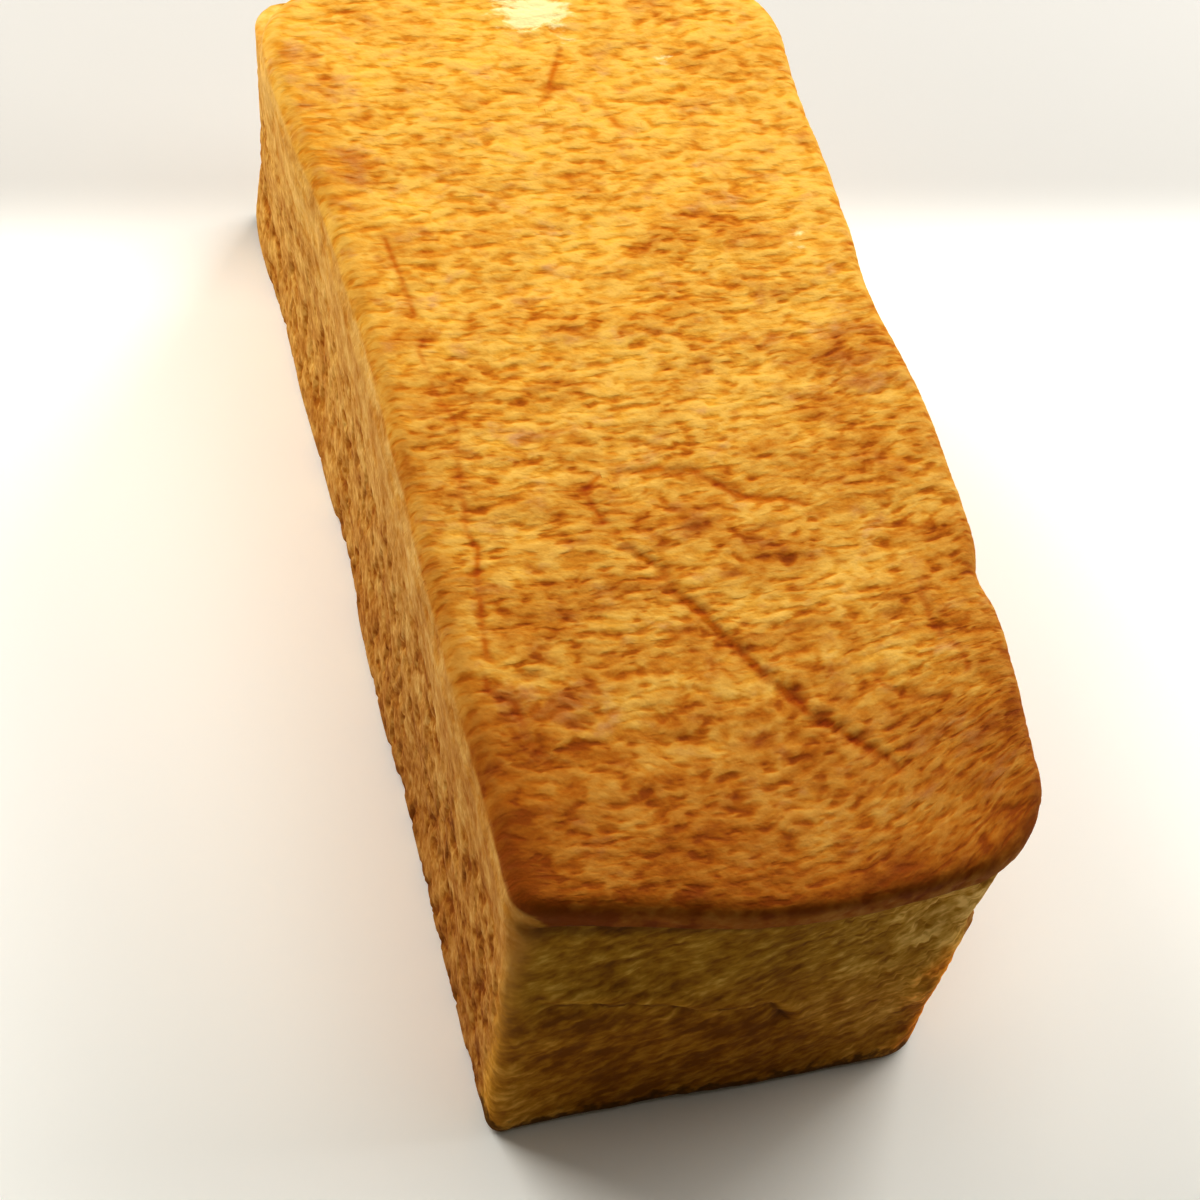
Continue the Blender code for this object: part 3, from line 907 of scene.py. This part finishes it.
def end_colour(wires, skin):
    """The end walls: dull tan above the torn fold, brown below it, with painted light on the right, and paler
    low on the left.
    """
    across, height, slanted = skin.across, skin.height, skin.slanted
    shelf = wires.weighed(wires.mark("shelf"), (wires.off_half(skin.blotch), 44.0))
    to_right = wires.ramp(across, 5, 46)
    to_left = wires.ramp(across, -28, -50)
    light = wires.ramp(shelf, -9, 5, 0.24, 0.50)
    # Painted light on the right, as if falling from the right.
    light = wires.weighed(light, (to_right, wires.ramp(height, 38, 62, 0.36, 0.48)),
                          (to_left, wires.ramp(height, 48, 18, 0.0, 0.46)),
                          (wires.off_half(slanted.wave), 1.15), (wires.off_half(slanted.grit), 1.3),
                          (wires.off_half(skin.patch), 1.1), (wires.off_half(skin.freckle), 0.4),
                          (slanted.pore, -0.30))
    end = wires.shade(wires.math("MULTIPLY", light, 0.75), END_SHADES)
    end = wires.tinted(wires.ramp(height, 65, 30), end, LOW_END_TINT)
    # Painted light high on the right.
    end = wires.tinted(wires.product(to_right, wires.ramp(height, 42, 66)), end, HIGH_END_LIGHT_TINT)
    # Painted light low on the right edge, which turns towards the light.
    edge = wires.weighed(across, (wires.off_half(skin.patch), 16.0))
    edge = wires.product(wires.ramp(edge, 40, 51), wires.ramp(height, 54, 38))
    return wires.tinted(edge, end, EDGE_LIGHT_TINT)


def wall_colour(wires, skin, end_wall):
    """The four walls, with a painted highlight at a corner, and dark at the foot, most on the end walls."""
    wall = wires.blend(end_wall, side_colour(wires, skin), end_colour(wires, skin))
    # Painted highlight at the upright near left corner.
    wall = wires.blend(wires.math("MULTIPLY", skin.pale, 0.75), wall, (*CORNER_HIGHLIGHT_COLOUR, 1))
    ragged = wires.weighed(skin.height, (wires.off_half(skin.freckle), 12.0))
    foot = wires.product(wires.ramp(ragged, 5.5, 2.0), wires.ramp(end_wall, 0, 1, 0.2, 0.85))
    return wires.blend(foot, wall, (*FOOT_BROWN, 1))


def crust_material():
    """Baked crust: golden to brown on top, tan to brown on the walls, with painted shade in its folds and a
    painted shadow under the lip.
    """
    material = bpy.data.materials.new("baked_crust")
    material.use_nodes = True
    wires = Wires(material.node_tree)
    shader = material.node_tree.nodes["Principled BSDF"]
    skin = crust_skin(wires)
    end_wall = wires.mark("end_wall")
    colour = wires.blend(wires.mark("crust"), wall_colour(wires, skin, end_wall), top_colour(wires, skin))

    fold_side = wires.mark("fold_side")
    # Painted shade along the folds and cracks.
    line = wires.math("EXPONENT", wires.product(fold_side, fold_side, -1.0))
    line = wires.math("MULTIPLY", line, wires.mark("fold_dark"), clamp=True)
    # Painted shade in the top's hollows.
    hollow_shade = wires.math("MULTIPLY", wires.weighed(0.4, (skin.freckle, 0.6)), wires.mark("deep"), clamp=True)
    colour = wires.tinted(hollow_shade, colour, HOLLOW_SHADE_TINT)
    on_end = wires.product(line, end_wall)
    colour = wires.tinted(wires.math("SUBTRACT", line, on_end), colour, FOLD_SHADE_TINT)
    # Painted shadow below the torn flap of the near end.
    colour = wires.tinted(on_end, colour, END_FOLD_SHADOW_TINT)
    # Painted shadow under the lip.
    colour = wires.tinted(wires.mark("lip"), colour, LIP_SHADOW_TINT)
    wires.feed(shader.inputs["Base Color"], colour)
    wires.feed(shader.inputs["Roughness"], wires.ramp(skin.freckle, 0.3, 0.7, 0.78, 0.64))
    shader.inputs["Specular IOR Level"].default_value = 0.08

    # Grain finer than the mesh can hold.
    grain = wires.math("MULTIPLY", skin.relief.hollow, -0.06)
    grain = wires.weighed(grain, (skin.fibre, 0.13), (skin.freckle, 0.12), (line, -0.08))
    bump = wires.node("ShaderNodeBump")
    bump.inputs["Strength"].default_value = 1.0
    bump.inputs["Distance"].default_value = MM
    wires.feed(bump.inputs["Height"], grain)
    wires.feed(shader.inputs["Normal"], bump.outputs[0])
    return material


# ---------------------------------------- unwrapping


def lay_out_skin(loaf, block):
    """Gives each side of the loaf its own rectangle of the piece's map, by its unrolled millimetres."""
    mesh = loaf.data
    over_x = unrolled(block[:, 0], WIDTH / 2)
    over_y = unrolled(block[:, 1], LENGTH / 2)
    x, y, z = block.T
    half_x = over_x.max()
    half_y = over_y.max()
    beside_top = 2 * half_x + MAP_GAP  # where the rectangles beside the top's begin
    above_top = 2 * half_y + 2 * MAP_GAP  # and those above it
    sheet_w = beside_top + 2 * RIM_Z + 3 * MAP_GAP
    sheet_h = above_top + RIM_Z + MAP_GAP
    corners = np.empty(len(mesh.loops), np.int32)
    mesh.loops.foreach_get("vertex_index", corners)
    starts = np.empty(len(mesh.polygons), np.int32)
    totals = np.empty(len(mesh.polygons), np.int32)
    mesh.polygons.foreach_get("loop_start", starts)
    mesh.polygons.foreach_get("loop_total", totals)
    owner = np.repeat(np.arange(len(starts)), totals)

    def per_face(flags):
        """True for faces all of whose corners have the flag."""
        counts = np.zeros(len(starts))
        np.add.at(counts, owner, flags[corners].astype(float))
        return (counts == totals)[owner]

    up = np.minimum(z, RIM_Z)
    from_left = x + WIDTH / 2
    from_near = y + LENGTH / 2
    places = (
        (per_face(z > HEIGHT - TOUCH), over_x + half_x + MAP_GAP, over_y + half_y + MAP_GAP),
        (per_face(x < -WIDTH / 2 + TOUCH), beside_top + MAP_GAP + up, from_near + MAP_GAP),
        (per_face(x > WIDTH / 2 - TOUCH), beside_top + 2 * MAP_GAP + 2 * RIM_Z - up, from_near + MAP_GAP),
        (per_face(y < -LENGTH / 2 + TOUCH), from_left + MAP_GAP, above_top + up),
        (per_face(y > LENGTH / 2 - TOUCH), 2 * MAP_GAP + 2 * WIDTH - from_left, above_top + up),
        (per_face(z < TOUCH), 3 * MAP_GAP + 2 * WIDTH + from_left * BASE_SHARE,
         above_top + from_near * BASE_SHARE),
    )
    u = np.zeros(len(corners))
    v = np.zeros(len(corners))
    for faces, on_u, on_v in places:
        u = np.where(faces, on_u[corners], u)
        v = np.where(faces, on_v[corners], v)
    skin = mesh.uv_layers.new(name="OFBake")
    skin.data.foreach_set("uv", np.stack([u / sheet_w, v / sheet_h], axis=1).astype(np.float32).ravel())


# ---------------------------------------- making the loaf


def make_loaf():
    """The whole finished loaf, standing in the frame."""
    loaf = make_block()
    block = settled_block(loaf)
    form = drawn_to_form(block)
    move_points(loaf.data, form)
    press = mark_crust(loaf, block, form)
    flat = np.empty(len(loaf.data.vertices) * 3)
    loaf.data.vertices.foreach_get("normal", flat)
    normals = flat.reshape(-1, 3)
    form = form - normals * press[:, None] * (block[:, 2:3] > 0)
    form = (form + np.array([-MIDDLE[0], -MIDDLE[1], 0])) * MM
    move_points(loaf.data, form)
    lay_out_skin(loaf, block)
    raise_relief(loaf)
    loaf.data.materials.append(crust_material())
    bpy.ops.object.select_all(action="DESELECT")
    loaf.select_set(True)
    bpy.context.view_layer.objects.active = loaf
    bpy.ops.object.shade_smooth()
    return loaf


# ---------------------------------------- studio


def camera_axes(azimuth, elevation, roll):
    """The camera's own X, Y and Z in the frame, for where it stands round the loaf."""
    back = Vector((math.sin(azimuth) * math.cos(elevation), -math.cos(azimuth) * math.cos(elevation),
                   math.sin(elevation)))
    right = (-back).cross(Vector((0, 0, 1))).normalized()
    up = right.cross(-back)
    across = math.cos(roll) * right + math.sin(roll) * up
    upward = -math.sin(roll) * right + math.cos(roll) * up
    return across, upward, back


def make_camera():
    across, upward, back = camera_axes(*(math.radians(angle) for angle in (AZIMUTH, ELEVATION, ROLL)))
    lens = bpy.data.cameras.new("camera")
    lens.sensor_width = SENSOR
    lens.lens = LENS
    lens.clip_start = 0.01
    lens.clip_end = 10
    camera = bpy.data.objects.new("camera", lens)
    turn = Matrix((across, upward, back)).transposed().to_4x4()
    camera.matrix_world = Matrix.Translation(Vector(CAMERA_PLACE) * MM) @ turn
    bpy.context.scene.collection.objects.link(camera)
    bpy.context.scene.camera = camera


def soft_light(name, place, aim, size, power, colour):
    """A rectangular soft box that faces a point, and isn't seen itself."""
    lamp = bpy.data.lights.new(name, "AREA")
    lamp.shape = "RECTANGLE"
    lamp.size, lamp.size_y = size
    lamp.energy = power
    lamp.color = colour
    light = bpy.data.objects.new(name, lamp)
    light.location = place
    light.rotation_euler = (Vector(aim) - Vector(place)).to_track_quat("-Z", "Y").to_euler()
    light.visible_camera = False
    bpy.context.scene.collection.objects.link(light)


def make_floor():
    """A pale sheet, with a painted soft shadow that makes it darker and creamier behind the loaf."""
    bpy.ops.object.select_all(action="DESELECT")
    bpy.ops.mesh.primitive_plane_add(size=6, location=(0, 0, 0))
    floor = bpy.context.object
    floor.name = "floor"
    material = bpy.data.materials.new("pale_floor")
    material.use_nodes = True
    shader = material.node_tree.nodes["Principled BSDF"]
    wires = Wires(material.node_tree)
    place = wires.node("ShaderNodeTexCoord").outputs["Object"]
    split = wires.node("ShaderNodeSeparateXYZ")
    wires.feed(split.inputs[0], place)
    # Painted soft shadow on the floor behind the loaf.
    back = wires.weighed(split.outputs[1], (split.outputs[0], 0.10))
    cream = wires.ramp(back, 0.092, 0.138)
    wires.feed(shader.inputs["Base Color"], wires.blend(cream, PALE_FLOOR, FLOOR_SHADOW))
    shader.inputs["Roughness"].default_value = 0.7
    shader.inputs["Specular IOR Level"].default_value = 0.1
    floor.data.materials.append(material)


def make_studio():
    """A dim room with soft boxes round the loaf."""
    scene = bpy.context.scene
    world = bpy.data.worlds.new("studio")
    scene.world = world
    world.use_nodes = True
    sky = world.node_tree.nodes["Background"]
    sky.inputs["Color"].default_value = (1.0, 0.98, 0.95, 1)
    sky.inputs["Strength"].default_value = 0.01
    scene.view_settings.view_transform = "Standard"
    scene.view_settings.gamma = 0.75
    for light in LIGHTS:
        soft_light(*light)


make_camera()
make_floor()
make_studio()
loaf = make_loaf()
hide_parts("loaf")
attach(loaf, "root")
